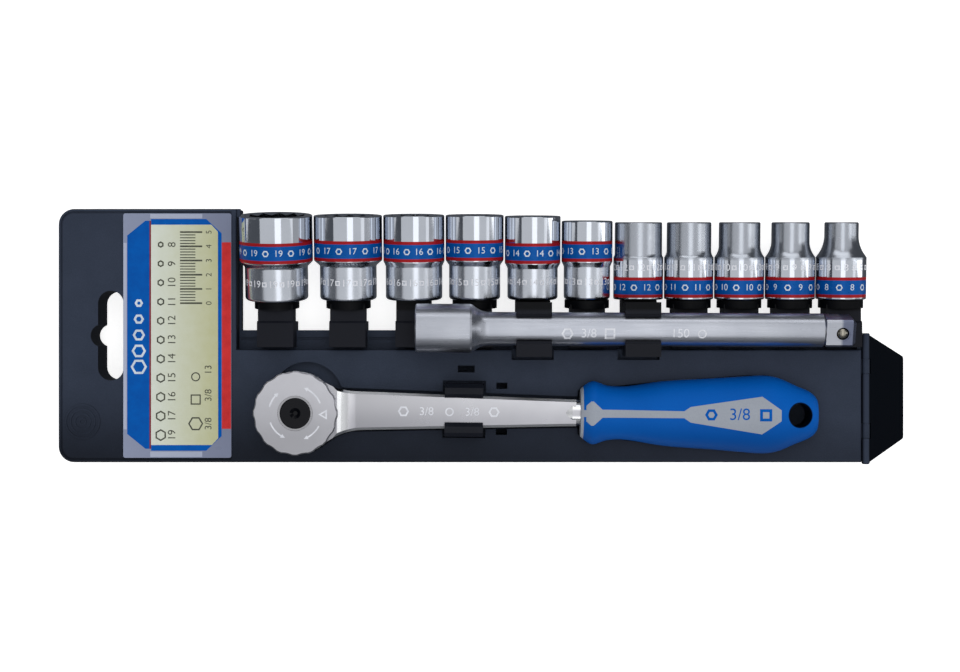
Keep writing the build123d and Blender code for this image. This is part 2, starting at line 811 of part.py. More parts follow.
def bar_clip(name):
    """Spring clip on the front of a post, with two jaws that close over the extension bar."""
    inner = bar_radius + clip_clearance
    low = bar_clip_low
    high = bar_clip_y + inner + clip_wall_upper
    top = bar_axis_height + clip_jaw_rise
    lip = bar_radius - clip_overlap
    profile = Polygon(
        (low, post_base_front + clip_corner_bevel),
        (low + clip_corner_bevel, post_base_front),
        (high - clip_corner_bevel, post_base_front),
        (high, post_base_front + clip_corner_bevel),
        (high, top),
        (bar_clip_y + lip + clip_lead_in, top),
        (bar_clip_y + lip, top - clip_lead_in),
        (bar_clip_y + lip, bar_axis_height),
        (bar_clip_y - lip, bar_axis_height),
        (bar_clip_y - lip, top - clip_lead_in),
        (bar_clip_y - lip - clip_lead_in, top),
        (low, top),
        align=None,
    )
    profile -= Pos(bar_clip_y, bar_axis_height) * Circle(inner)
    clip = extrude(Plane.YZ * profile, clip_width / 2, both=True)
    return Pos(post_x[name], 0, 0) * clip


def ratchet_clip():
    """Spring clip let into the face, with two jaws that close over the ratchet's shank."""
    widest_place = shank_clip_from_head - shank_clip_length / 2
    inner = shank_half_width_at(widest_place) + shank_clip_aside + shank_clip_clearance
    lip = shank_clip_lip()
    outer = shank_clip_outer()
    base_top = -shank_half - shank_clip_clearance
    base_bottom = base_top - shank_clip_base
    under_lip = shank_half + shank_clip_clearance
    top = shank_half + shank_clip_rise
    half_profile = (
        (0, base_bottom),
        (outer, base_bottom),
        (outer, top - shank_clip_corner_bevel),
        (outer - shank_clip_corner_bevel, top),
        (lip + shank_clip_lead_in, top),
        (lip, under_lip + shank_clip_lead_in / 2),
        (lip, under_lip),
        (inner, under_lip),
        (inner, base_top),
        (0, base_top),
    )
    half = Polygon(*half_profile, align=None)
    profile = half + mirror(half, about=Plane.YZ)
    jaws = extrude(Plane.YZ * profile, shank_clip_length / 2, both=True)
    full_length = shank_clip_length + 2 * shank_clip_end_gap
    ends = block(-full_length / 2 + window_clearance, full_length / 2 - window_clearance,
                 -lip, lip, base_bottom, base_top)
    return ratchet_place * clip_line * (jaws + ends)


# ---- Extension bar ----------------------------------------------------------------------------
bar_place = Pos(bar_start, bar_y, bar_axis_height) * Rot(0, 0, bar_slew) * Rot(bar_roll, 0, 0)
bar_ball_place = Pos(bar_length - drive_ball_from_tip, 0, 0)
bar_ball_centre = drive_square / 2 + bar_ball_proud - bar_ball_radius
bar_hole_floor = drive_square / 2 - bar_ball_hole_depth


def extension_bar():
    """The extension bar: square socket in its thick end, square drive with a ball at the other."""
    square_start = bar_length - bar_square_length
    shoulder_end = bar_head_length + bar_shoulder_length
    outline = Polygon(
        (0, 0),
        (bar_head_radius, 0),
        (bar_head_radius, bar_head_length),
        (bar_radius, shoulder_end),
        (bar_radius, square_start),
        (0, square_start),
        align=None,
    )
    neck = [v for v in outline.vertices() if v.X > near and abs(v.Y - shoulder_end) < near]
    outline = fillet(neck, bar_shoulder_round)
    ends = [v for v in outline.vertices() if v.X > near and v.Y < bar_head_length + near]
    outline = chamfer(ends, bar_head_bevel)
    tip = [v for v in outline.vertices() if v.X > near and v.Y > square_start - near]
    outline = chamfer(tip, bar_end_bevel)
    bar = along_x(turned(outline))
    square = prism(Rectangle(drive_square, drive_square), 0, bar_square_length)
    square = chamfer(square.edges().filter_by(Axis.Z), square_bevel)
    square = chamfer(square.faces().sort_by(Axis.Z)[-1].edges(), bar_square_bevel)
    bar += Pos(square_start, 0, 0) * along_x(square)
    hole = prism(Rectangle(drive_hole, drive_hole), -overcut, drive_depth)
    groove_low = drive_ball_from_tip - drive_groove_width / 2
    groove_radius = drive_hole / 2 + drive_groove_depth
    hole += rod(groove_radius, groove_low, groove_low + drive_groove_width)
    bar -= along_x(hole)
    ball_hole = rod(bar_ball_radius + bar_ball_clearance, bar_hole_floor, drive_square)
    ball_hole += rod(bar_ball_ring_radius, drive_square / 2 - bar_ball_ring_depth, drive_square)
    bar -= bar_ball_place * ball_hole
    return bar_place * bar


def extension_ball():
    """The ball that holds a socket on the bar."""
    return bar_place * bar_ball_place * Pos(0, 0, bar_ball_centre) * Sphere(bar_ball_radius)


def extension_ball_spring():
    """The spring under the bar's ball."""
    space = bar_ball_centre - bar_ball_radius - bar_hole_floor - spring_clearance
    radius = bar_ball_radius - bar_spring_wire / 2 - spring_clearance
    spring = coil_spring(radius, bar_spring_wire, space, bar_spring_turns)
    return bar_place * bar_ball_place * Pos(0, 0, bar_hole_floor) * spring


# ---- Ratchet ----------------------------------------------------------------------------------
cover_low = -head_half + circlip_recess + circlip_thickness + cover_clearance
cavity_floor = cover_low + cover_thickness
cavity_top = head_half - head_top_wall
gear_low = cavity_floor + gear_end_play
gear_high = cavity_top - gear_end_play
dial_low = head_half + dial_gap
dial_high = dial_low + dial_thickness
ring_high = dial_high - dial_ring_from_top
ring_low = ring_high - dial_ring_height
button_low = dial_high - button_thickness
spring_seat = button_low - release_spring_space


def sector(inner_radius, outer_radius, half_width):
    """Part of a ring on the handle's side of the head, cut to a width."""
    ring = Circle(outer_radius) - Circle(inner_radius)
    return ring & (Pos(outer_radius / 2, 0) * Rectangle(outer_radius, 2 * half_width))


def ratchet_body():
    """The forged ratchet: round head with its cavity, neck, flat shank and tang."""
    head = rod(head_radius, -head_half, head_half)
    rims = head.edges().filter_by(GeomType.CIRCLE)
    body = chamfer(rims, head_edge_bevel) + prism(neck_plan(), -head_half, head_half)
    reach = 2 * head_radius
    for side in (-1, 1):
        surface = side * shank_half
        above = side * (head_half + overcut)
        low, high = min(surface, above), max(surface, above)
        body -= block(neck_from_head, shank_length + overcut, -reach, reach, low, high)
        ramp = along_y(rod(neck_ramp_radius, -reach, reach))
        body -= Pos(neck_from_head, 0, side * (shank_half + neck_ramp_radius)) * ramp
    long_edges = [e for e in body.edges() if e.center().X > neck_from_head
                  and abs(abs(e.center().Z) - shank_half) < near
                  and e.length > shank_length / 2]
    body = chamfer(long_edges, shank_edge_bevel)
    collar_full = shank_length - shank_stub_inside
    collar_start = collar_full - shank_stub_slope
    collar = Polygon(
        (0, collar_start),
        (shank_half - shank_stub_sink, collar_start),
        (shank_stub_radius, collar_full),
        (shank_stub_radius, handle_from_head),
        (0, handle_from_head),
        align=None,
    )
    body += shank_line * along_x(turned(collar))
    tang = rod(tang_radius, handle_from_head - overcut, handle_from_head + tang_length)
    body += shank_line * along_x(tang)

    body -= rod(cover_radius + cover_clearance, -head_half - overcut, cavity_floor)
    groove_low = -head_half + circlip_recess
    groove_radius = cover_radius + circlip_groove_depth
    body -= rod(groove_radius, groove_low, groove_low + circlip_thickness)
    body -= rod(gear_tip_radius + gear_clearance, cavity_floor - overcut, cavity_top)
    pocket = sector(gear_root_radius, pawl_pocket_radius, pawl_pocket_half_width)
    body -= prism(pocket, cavity_floor - overcut, cavity_top)
    body -= rod(journal_radius + journal_clearance, cavity_top - overcut, head_half + overcut)
    window = rod(pawl_pin_radius + pawl_pin_window, cavity_top - overcut, head_half + overcut)
    body -= Pos(pawl_pin_from_axis, 0, 0) * window
    bore_end = pawl_outer_radius + pawl_ball_gap + 2 * pawl_ball_radius + pawl_spring_length
    bore = along_x(rod(pawl_ball_radius + pawl_ball_clearance, pawl_outer_radius, bore_end))
    body -= bore
    return ratchet_place * body


def drive_gear():
    """The toothed drive: gear ring, two journals, a hub for the dial and the square below."""
    points = []
    for i in range(2 * gear_teeth):
        radius = gear_tip_radius if i % 2 == 0 else gear_root_radius
        angle = pi * i / gear_teeth
        points.append((radius * cos(angle), radius * sin(angle)))
    gear = prism(Polygon(*points, align=None), gear_low, gear_high)
    gear += rod(journal_radius, -head_half, head_half)
    gear += rod(hub_radius, head_half - overcut, dial_high)
    square_low = -head_half - square_length
    square_high = -head_half + overcut
    square = prism(Rectangle(drive_square, drive_square), square_low, square_high)
    square = chamfer(square.faces().sort_by(Axis.Z)[0].edges(), square_bevel)
    square &= rod(square_corner_radius, square_low, square_high)
    gear += square
    gear -= rod(button_radius + button_clearance, spring_seat, dial_high + overcut)
    stem_bore = stem_radius + stem_bore_clearance
    gear -= rod(stem_bore, square_low + stem_bore_end_wall, spring_seat + overcut)
    ball_hole = along_x(rod(ball_radius + ball_clearance, 0, drive_square))
    gear -= Pos(0, 0, ball_height) * ball_hole
    groove = rod(hub_radius + overcut, ring_low, ring_high)
    groove -= rod(hub_radius - dial_ring_bite, ring_low, ring_high)
    gear -= groove
    return ratchet_place * gear


def dial_ring():
    """The wire ring in the hub's groove that keeps the dial on."""
    outer = hub_radius + dial_ring_proud
    ring = rod(outer, ring_low, ring_high) - rod(hub_radius - dial_ring_bite, ring_low, ring_high)
    return ratchet_place * ring


def cover_plate():
    """The plate that closes the head from below, with the drive's hole and the pawl's pivot."""
    cover = rod(cover_radius, cover_low, cavity_floor)
    below = cover_low - overcut
    above = cavity_floor + overcut
    cover -= rod(journal_radius + journal_clearance, below, above)
    pivot = rod(pawl_pivot_radius + pawl_pivot_clearance, below, above)
    cover -= Pos(pawl_pivot_from_axis, 0, 0) * pivot
    return ratchet_place * cover


def cover_circlip():
    """The open ring sprung into the head's groove under the cover plate."""
    low = -head_half + circlip_recess
    ring = Circle(cover_radius + circlip_groove_depth) - Circle(circlip_inner_radius)
    ring -= Pos(-cover_radius, 0) * Rectangle(2 * circlip_groove_depth + cover_radius, circlip_opening)
    return ratchet_place * prism(ring, low, low + circlip_thickness)


def pawl():
    """The rocking pawl behind the gear, with its pivot below and the dial's pin above."""
    body = prism(sector(pawl_inner_radius, pawl_outer_radius, pawl_half_width), gear_low, gear_high)
    pivot = rod(pawl_pivot_radius, cover_low, gear_low + overcut)
    body += Pos(pawl_pivot_from_axis, 0, 0) * pivot
    pin = rod(pawl_pin_radius, gear_high - overcut, dial_low + dial_slot_depth - dial_gap)
    body += Pos(pawl_pin_from_axis, 0, 0) * pin
    return ratchet_place * body


def pawl_ball():
    """The ball that presses on the pawl's back."""
    x = pawl_outer_radius + pawl_ball_gap + pawl_ball_radius
    return ratchet_place * Pos(x, 0, 0) * Sphere(pawl_ball_radius)


def pawl_spring():
    """The spring behind the pawl's ball, in a bore in the neck."""
    start = pawl_outer_radius + pawl_ball_gap + 2 * pawl_ball_radius
    radius = pawl_ball_radius - pawl_spring_wire / 2
    length = pawl_spring_length - spring_clearance
    spring = coil_spring(radius, pawl_spring_wire, length, pawl_spring_turns)
    return ratchet_place * Pos(start + spring_clearance, 0, 0) * along_x(spring)


def selector_dial():
    """The scalloped dial that reverses the ratchet, with a slot below for the pawl's pin."""
    plan = Circle(dial_radius)
    for i in range(dial_scallops):
        cutter = Pos(dial_radius + dial_scallop_radius - dial_scallop_depth, 0)
        plan -= Rot(0, 0, 360 / dial_scallops * (i + 0.5)) * cutter * Circle(dial_scallop_radius)
    dial = prism(plan, dial_low, dial_high)
    dial = chamfer(dial.faces().sort_by(Axis.Z)[-1].edges(), dial_edge_bevel)
    dial -= rod(hub_radius + dial_bore_clearance, dial_low - overcut, dial_high + overcut)
    dial -= rod(hub_radius + dial_ring_proud + dial_ring_play, ring_low - dial_ring_play,
                ring_high + dial_ring_play)
    pin_half_angle = degrees(asin(pawl_pin_radius / pawl_pin_from_axis))
    half_angle = dial_swing + pin_half_angle + dial_slot_play
    room = pawl_pin_radius + dial_slot_margin
    slot = Circle(pawl_pin_from_axis + room) - Circle(pawl_pin_from_axis - room)
    reach = 2 * dial_radius
    edge = reach * tan(radians(half_angle))
    slot &= Polygon((0, 0), (reach, -edge), (reach, edge), align=None)
    dial -= prism(slot, dial_low - overcut, dial_low + dial_slot_depth)
    return ratchet_place * dial


def release_button():
    """The quick-release button: a dimpled cap on a stem with a ramp that lets the ball in."""
    cap = rod(button_radius, button_low, dial_high)
    cap = fillet(cap.edges().sort_by(Axis.Z)[-1], button_edge_round)
    dimple = Cone(button_dimple_floor_radius, button_dimple_radius, button_dimple_depth)
    cap -= Pos(0, 0, dial_high - button_dimple_depth / 2) * dimple
    ramp_slope = ball_proud / button_travel
    neck_radius = stem_radius - ball_proud - ramp_slope * spring_clearance
    neck_low = ball_height + (stem_radius - neck_radius) / ramp_slope
    neck_high = neck_low + stem_neck_above_ball
    profile = Polygon(
        (0, ball_height - stem_land_below_ball),
        (stem_radius, ball_height - stem_land_below_ball),
        (stem_radius, ball_height),
        (neck_radius, neck_low),
        (neck_radius, neck_high),
        (stem_radius, neck_high + stem_radius - neck_radius),
        (stem_radius, button_low),
        (0, button_low),
        align=None,
    )
    return ratchet_place * (cap + turned(profile))


def release_spring():
    """The spring that lifts the button."""
    length = release_spring_space - spring_clearance
    radius = button_radius - release_spring_wire / 2 - spring_clearance
    spring = coil_spring(radius, release_spring_wire, length, release_spring_turns)
    return ratchet_place * Pos(0, 0, spring_seat) * spring


def drive_ball():
    """The ball that holds a socket on the ratchet's square."""
    x = drive_square / 2 + ball_proud - ball_radius
    return ratchet_place * Pos(x, 0, ball_height) * Sphere(ball_radius)


def handle_form():
    """The handle's whole form: a turned outline flattened to an oval, with its hanging hole."""
    front, back = handle_stations[0], handle_stations[-1]
    profile = make_face([Spline(*handle_stations), Polyline(back, (back[0], 0), (front[0], 0), front)])
    form = scale(revolve(profile, Axis.X), by=(1, 1, handle_flatness))
    form -= Pos(hang_hole_from_front, 0, 0) * rod(hang_hole_radius, -core_width, core_width)
    form -= along_x(rod(tang_radius, front[0] - overcut, tang_length))
    return form


def handle_core_room():
    """The room that the grey core takes in the handle: ring, bar, inlay and side seams."""
    wide = 2 * core_width
    room = block(-overcut, handle_ring_length, -wide, wide, -wide, wide)
    bar = RectangleRounded(core_width, core_height, core_corner_round)
    room += extrude(Plane.YZ * bar, core_length, dir=(1, 0, 0))
    room += prism(mirrored_outline(inlay_outline), -wide, wide)
    room += block(seam_start, seam_end, -wide, wide, -seam_half_height, seam_half_height)
    return room


def handle_parts():
    """The grey core and the blue grip moulded round it."""
    form = handle_form()
    room = handle_core_room()
    place = ratchet_place * shank_line * Pos(handle_from_head, 0, 0)
    return place * (form & room), place * (form - room)


# ---- All the nodes ----------------------------------------------------------------------------
def all_nodes():
    """Every piece of the set by its node's name."""
    nodes = {
        "tray": tray(),
        "label_card": label_card(),
        "end_flap": end_flap(),
        "hinge_pin": hinge_pin(),
        "ratchet_clip": ratchet_clip(),
    }
    for name, jaw, mouth, drive, length, step, lean in socket_table:
        nodes[f"socket_{name}"] = socket(name, jaw, mouth, drive, length, step, lean)
        nodes[f"post_{name}"] = post(name, lean)
    for name in clip_posts:
        nodes[f"bar_clip_{name}"] = bar_clip(name)
    nodes["extension_bar"] = extension_bar()
    nodes["extension_ball"] = extension_ball()
    nodes["extension_ball_spring"] = extension_ball_spring()
    nodes["ratchet_body"] = ratchet_body()
    nodes["drive_gear"] = drive_gear()
    nodes["dial_ring"] = dial_ring()
    nodes["cover_plate"] = cover_plate()
    nodes["cover_circlip"] = cover_circlip()
    nodes["pawl"] = pawl()
    nodes["pawl_ball"] = pawl_ball()
    nodes["pawl_spring"] = pawl_spring()
    nodes["selector_dial"] = selector_dial()
    nodes["release_button"] = release_button()
    nodes["release_spring"] = release_spring()
    nodes["drive_ball"] = drive_ball()
    nodes["handle_core"], nodes["handle_grip"] = handle_parts()
    return nodes


os.makedirs("parts", exist_ok=True)
for name, shape in all_nodes().items():
    shape.label = name
    export_step(shape, f"parts/{name}.step")
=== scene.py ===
import json
from math import cos, pi, radians, sin

import bmesh
import bpy
from mathutils import Matrix, Vector
from mathutils.bvhtree import BVHTree


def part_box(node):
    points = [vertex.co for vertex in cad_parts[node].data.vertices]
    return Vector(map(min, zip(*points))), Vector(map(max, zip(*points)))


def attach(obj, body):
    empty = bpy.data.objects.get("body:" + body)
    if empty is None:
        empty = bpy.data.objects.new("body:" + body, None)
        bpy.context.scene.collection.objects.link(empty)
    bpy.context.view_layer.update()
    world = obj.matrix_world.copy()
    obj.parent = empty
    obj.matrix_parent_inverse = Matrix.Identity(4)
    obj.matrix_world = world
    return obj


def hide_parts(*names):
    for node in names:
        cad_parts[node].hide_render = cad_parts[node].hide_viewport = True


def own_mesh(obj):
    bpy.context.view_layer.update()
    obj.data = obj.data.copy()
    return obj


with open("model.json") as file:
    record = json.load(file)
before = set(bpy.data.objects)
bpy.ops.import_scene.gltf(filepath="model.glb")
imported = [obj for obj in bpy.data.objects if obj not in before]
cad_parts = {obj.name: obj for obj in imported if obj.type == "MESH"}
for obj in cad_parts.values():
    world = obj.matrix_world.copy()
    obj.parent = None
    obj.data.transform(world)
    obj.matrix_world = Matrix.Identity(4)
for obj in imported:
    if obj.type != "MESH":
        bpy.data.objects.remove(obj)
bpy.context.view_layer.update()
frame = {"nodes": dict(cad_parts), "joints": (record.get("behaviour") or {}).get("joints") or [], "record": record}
nodes = frame["nodes"]
record = frame["record"]
MM = 0.001
scene = bpy.context.scene

JAWS = (19, 17, 16, 15, 14, 13, 12, 11, 10, 9, 8)
LARGE = (19, 17, 16, 15, 14, 13)
joints = {joint["name"]: joint for joint in frame["joints"]}


# ---- Node materials ---------------------------------------------------------------------------
class Shader:
    """A Principled material whose colour, roughness and relief come from nodes."""

    def __init__(self, name, **sockets):
        self.material = bpy.data.materials.new(name)
        self.material.use_nodes = True
        self.tree = self.material.node_tree
        self.surface = self.tree.nodes["Principled BSDF"]
        place = self.tree.nodes.new("ShaderNodeTexCoord")
        self.place = place.outputs["Object"]
        for socket_name, value in sockets.items():
            self.set(self.surface, socket_name.replace("_", " "), value)

    def set(self, node, socket_name, value):
        """Puts a number, a colour or another node's output on a socket."""
        socket = node.inputs[socket_name]
        if isinstance(value, bpy.types.NodeSocket):
            self.tree.links.new(value, socket)
        elif isinstance(value, (tuple, list)) and len(value) == 3 and len(socket.default_value) == 4:
            socket.default_value = (*value, 1.0)
        else:
            socket.default_value = value

    def node(self, kind, inputs):
        """A node of a kind, with numbers, colours or other nodes' outputs on its sockets."""
        made = self.tree.nodes.new(kind)
        for key, value in inputs.items():
            self.set(made, key, value)
        return made

    def stretched(self, stretch):
        """The surface's place, stretched along its axes."""
        made = self.node("ShaderNodeMapping", {"Vector": self.place, "Scale": stretch})
        return made.outputs["Vector"]

    def noise(self, scale, detail=2.0, roughness=0.5, stretch=None):
        place = self.stretched(stretch) if stretch else self.place
        made = self.node("ShaderNodeTexNoise", {"Vector": place, "Scale": scale, "Detail": detail,
                                                "Roughness": roughness})
        return made.outputs["Fac"]

    def cells(self, scale):
        made = self.node("ShaderNodeTexVoronoi", {"Vector": self.place, "Scale": scale})
        return made.outputs["Distance"]

    def span(self, value, low, high, out_low=0.0, out_high=1.0, smooth=False):
        """Maps a range of a value to another, held at its ends."""
        made = self.node("ShaderNodeMapRange", {"Value": value, "From Min": low, "From Max": high,
                                                "To Min": out_low, "To Max": out_high})
        if smooth:
            made.interpolation_type = "SMOOTHSTEP"
        return made.outputs["Result"]

    def operate(self, kind, operation, first, second):
        made = self.tree.nodes.new(kind)
        made.operation = operation
        for socket, value in zip(made.inputs, (first, second)):
            if isinstance(value, bpy.types.NodeSocket):
                self.tree.links.new(value, socket)
            else:
                socket.default_value = value
        return made.outputs

    def math(self, operation, first, second=0.0):
        return self.operate("ShaderNodeMath", operation, first, second)[0]

    def vector(self, operation, first, second=(0.0, 0.0, 0.0)):
        """A vector from two vectors; or, for a length or a dot product, a number."""
        outputs = self.operate("ShaderNodeVectorMath", operation, first, second)
        return outputs["Value" if operation in ("LENGTH", "DOT_PRODUCT") else "Vector"]

    def axis(self, letter):
        made = self.node("ShaderNodeSeparateXYZ", {"Vector": self.place})
        return made.outputs[letter]

    def across(self, letter, ends, out_low=0.0, out_high=1.0, smooth=False):
        """Maps the way along an axis between two places in mm, held at its ends."""
        return self.span(self.axis(letter), ends[0] * MM, ends[1] * MM, out_low, out_high, smooth)

    def facing_up(self, low, high):
        """1 on faces that look up, falling to 0 as the surface turns away; the object's own normal."""
        texture = self.tree.nodes.new("ShaderNodeTexCoord")
        made = self.node("ShaderNodeSeparateXYZ", {"Vector": texture.outputs["Normal"]})
        return self.span(made.outputs["Z"], low, high, smooth=True)

    def mix(self, share, first, second):
        """Colour between two colours."""
        made = self.tree.nodes.new("ShaderNodeMix")
        made.data_type = "RGBA"
        for index, value in ((0, share), (6, first), (7, second)):
            socket = made.inputs[index]
            if isinstance(value, bpy.types.NodeSocket):
                self.tree.links.new(value, socket)
            elif index == 0:
                socket.default_value = value
            else:
                socket.default_value = (*value, 1.0)
        return made.outputs[2]

    def relief(self, height, strength, distance):
        made = self.node("ShaderNodeBump", {"Height": height, "Strength": strength, "Distance": distance})
        self.set(self.surface, "Normal", made.outputs["Normal"])

    def finish(self, **sockets):
        for socket_name, value in sockets.items():
            self.set(self.surface, socket_name.replace("_", " "), value)
        return self.material


def rgb(red, green, blue):
    """Linear colour from display values of 0 to 255."""
    made = []
    for value in (red, green, blue):
        share = value / 255
        made.append(share / 12.92 if share <= 0.04045 else ((share + 0.055) / 1.055) ** 2.4)
    return tuple(made)


def moulded(name, dark, light, roughness=0.5, grain=0.00004, grain_scale=1800.0, specular=0.2):
    """Moulded plastic: slow shade changes, a fine sparked grain, and slightly uneven gloss."""
    shader = Shader(name, Specular_IOR_Level=specular)
    slow = shader.noise(22.0, 3.0)
    fine = shader.noise(grain_scale, 3.0, 0.6)
    shade = shader.math("ADD", shader.math("MULTIPLY", slow, 0.7), shader.math("MULTIPLY", fine, 0.3))
    shader.relief(fine, 0.5, grain)
    return shader.finish(
        Base_Color=shader.mix(shader.span(shade, 0.35, 0.65), dark, light),
        Roughness=shader.span(slow, 0.3, 0.7, roughness - 0.05, roughness + 0.07),
    )


# Places where the materials change, in mm: along the axis that each name ends in, or as it says.
GRIP_SHADE_Y = (-43, -25)
HANDLE_HOLE_FROM_END = 7.0
HANDLE_HOLE_EDGE = (4.3, 4.6)
SHANK_SHADE_Y = (-32, -21)
DIAL_SHADE_Y = (-38, -15)
BAR_SQUARE_X = (121.5, 122.5)
CARD_SHADE_X = (-127, -94)
TRAY_SHADE_Y = (-46, -12)
TRAY_SHADE_X = (10, 130)
FLAP_KNUCKLE_END = (2.3, 2.7)
COLLAR_FRONT_Y = (8.6, 9.6)


def grip_material():
    """Soft blue grip: with painted shade deeper towards its near side and in its hanging hole, finely grained."""
    shader = Shader("grip_blue", Specular_IOR_Level=0.07)
    slow = shader.noise(30.0, 3.0)
    fine = shader.noise(2600.0, 3.0, 0.6)
    shade = shader.math("ADD", shader.math("MULTIPLY", slow, 0.6), shader.math("MULTIPLY", fine, 0.4))
    colour = shader.mix(shader.span(shade, 0.35, 0.65), rgb(0, 82, 168), rgb(0, 91, 180))
    # Painted shade: the grip darkens towards its near side.
    near = shader.across("Y", GRIP_SHADE_Y, 0.85, 0.0, smooth=True)
    colour = shader.mix(near, colour, rgb(0, 56, 120))
    low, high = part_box("handle_grip")
    hole = (high.x - HANDLE_HOLE_FROM_END * MM, (low.y + high.y) / 2, 0.0)
    flat_place = shader.vector("MULTIPLY", shader.place, (1.0, 1.0, 0.0))
    away = shader.vector("LENGTH", shader.vector("SUBTRACT", flat_place, hole))
    # Painted shade: the wall of the hanging hole is darkened nearly to black.
    hole_painted_shade = shader.span(away, HANDLE_HOLE_EDGE[0] * MM, HANDLE_HOLE_EDGE[1] * MM, 1.0, 0.0)
    colour = shader.mix(hole_painted_shade, colour, rgb(0, 12, 30))
    shader.relief(fine, 0.5, 0.00003)
    return shader.finish(Base_Color=colour, Roughness=shader.span(slow, 0.3, 0.7, 0.44, 0.56))


def ratchet_material():
    """Polished chrome edges round faces that are ground to a satin finish; the edges' lighter colour is painted
    highlight, and the faces' darker colour, darker still towards the near side, is painted shade.
    """
    shader = Shader("ratchet_chrome", Metallic=1.0)
    smear = shader.noise(90.0, 4.0, 0.6)
    # The satin faces and polished edges really differ in roughness; the faces' darker base colour and the edges'
    # lighter one are painted shade and painted highlight.
    face = shader.facing_up(0.93, 0.995)
    above_bevel = shader.facing_up(0.74, 0.82)
    bevel = shader.math("MULTIPLY", shader.facing_up(0.60, 0.68), shader.math("SUBTRACT", 1.0, above_bevel))
    polish_painted_highlight = shader.mix(smear, (0.84, 0.85, 0.87), (0.92, 0.93, 0.94))
    # Painted shade: the ground faces darken towards the near side.
    far = shader.across("Y", SHANK_SHADE_Y, smooth=True)
    ground = shader.mix(far, (0.38, 0.38, 0.41), (0.56, 0.56, 0.59))
    gloss = shader.math("ADD", shader.span(smear, 0.3, 0.7, 0.06, 0.13), shader.math("MULTIPLY", face, 0.2))
    gloss = shader.math("ADD", gloss, shader.math("MULTIPLY", bevel, 0.34))
    return shader.finish(Base_Color=shader.mix(face, polish_painted_highlight, ground), Roughness=gloss)


def satin(name, dark, light, roughness=0.34, stretch=(0.03, 1.0, 1.0), scale=2500.0, relief=0.000012):
    """Satin-chromed steel, brushed or blasted to a fine even texture."""
    shader = Shader(name, Metallic=1.0)
    brushed = shader.noise(scale, 3.0, 0.6, stretch=stretch)
    cloud = shader.noise(60.0, 3.0)
    shader.relief(brushed, 0.4, relief)
    return shader.finish(
        Base_Color=shader.mix(shader.span(cloud, 0.3, 0.7), dark, light),
        Roughness=shader.span(brushed, 0.25, 0.75, roughness - 0.06, roughness + 0.08),
    )


def dial_material():
    """The dial's blasted satin face, with painted light making it a little brighter towards the far side."""
    shader = Shader("dial_satin", Metallic=1.0)
    blasted = shader.noise(3200.0, 3.0, 0.6)
    cloud = shader.span(shader.noise(60.0, 3.0), 0.3, 0.7, -0.12, 0.12)
    # Painted light: the dial is brighter towards its far side.
    cloud = shader.math("ADD", shader.across("Y", DIAL_SHADE_Y, smooth=True), cloud)
    shader.relief(blasted, 0.4, 0.00002)
    return shader.finish(Base_Color=shader.mix(cloud, (0.46, 0.46, 0.49), (0.66, 0.66, 0.70)),
                         Roughness=shader.span(blasted, 0.25, 0.75, 0.30, 0.44))


def bar_material():
    """The extension bar: satin chrome, its ground square end a darker grey."""
    shader = Shader("bar_satin", Metallic=1.0)
    brushed = shader.noise(2600.0, 3.0, 0.6, stretch=(0.03, 1.0, 1.0))
    cloud = shader.noise(60.0, 3.0)
    square = shader.across("X", BAR_SQUARE_X)
    round_part = shader.mix(shader.span(cloud, 0.3, 0.7), (0.43, 0.45, 0.505), (0.51, 0.53, 0.585))
    colour = shader.mix(square, round_part, (0.17, 0.19, 0.27))
    shader.relief(brushed, 0.4, 0.000012)
    return shader.finish(Base_Color=colour, Roughness=shader.span(brushed, 0.25, 0.75, 0.24, 0.38))


def paint(name, dark, light, roughness=0.35, specular=0.25):
    """Printed or painted colour with a slight mottle and an uneven gloss."""
    shader = Shader(name, Specular_IOR_Level=specular)
    mottle = shader.noise(300.0, 4.0, 0.6)
    shader.relief(shader.noise(2600.0, 2.0), 0.2, 0.000006)
    return shader.finish(
        Base_Color=shader.mix(shader.span(mottle, 0.35, 0.65), dark, light),
        Roughness=shader.span(mottle, 0.3, 0.7, roughness - 0.05, roughness + 0.08),
    )


def board(name, left, right, roughness=0.35):
    """Printed card whose tone changes slowly from its left side to its right."""
    shader = Shader(name, Specular_IOR_Level=0.2)
    mottle = shader.noise(260.0, 4.0, 0.6)
    uneven = shader.math("MULTIPLY", shader.math("SUBTRACT", mottle, 0.5), 0.25)
    tone = shader.math("ADD", shader.across("X", CARD_SHADE_X), uneven)
    shader.relief(mottle, 0.2, 0.000008)
    return shader.finish(
        Base_Color=shader.mix(tone, left, right),
        Roughness=shader.span(mottle, 0.3, 0.7, roughness - 0.05, roughness + 0.08),
    )


CHROME_DARK = (0.61, 0.645, 0.71)
CHROME_LIGHT = (0.71, 0.745, 0.81)
SATIN_NECK = (0.50, 0.53, 0.585)
BAND_BLUE = (rgb(0, 74, 148), rgb(0, 86, 166))
BAND_RED = (rgb(140, 20, 28), rgb(172, 30, 36))

# Sockets, in mm. Starts are measured along a socket's axis from its foot, the drive end.
SOCKET_FOOT_Y = 13.25
SOCKET_FOOT_Z = 13.0
BAND_START = {19: 13.78, 17: 14.05, 16: 13.7, 15: 14.05, 14: 12.9, 13: 13.5}
SMALL_BAND_START = 0.8
BAND_WIDTH = 7.15
BAND_LINE = 1.1
SMALL_NECK_START = (13.6, 14.4)
SMALL_PASSAGE_RADIUS = 7.6
JAW_WALL = 0.7
DRIVE_WIDTH = {19: 22.1, 17: 19.9, 16: 19.9, 15: 18.0, 14: 17.7, 13: 16.3, 12: 17.5, 11: 17.3, 10: 17.5,
               9: 17.5, 8: 17.6}


def socket_axis(jaw):
    """A socket's foot on its axis, and the axis's direction."""
    node = f"socket_{jaw:02d}"
    low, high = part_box(node)
    direction = Vector(joints[f"{node}_lift"]["axis"]).normalized()
    return Vector(((low.x + high.x) / 2, SOCKET_FOOT_Y * MM, SOCKET_FOOT_Z * MM)), direction


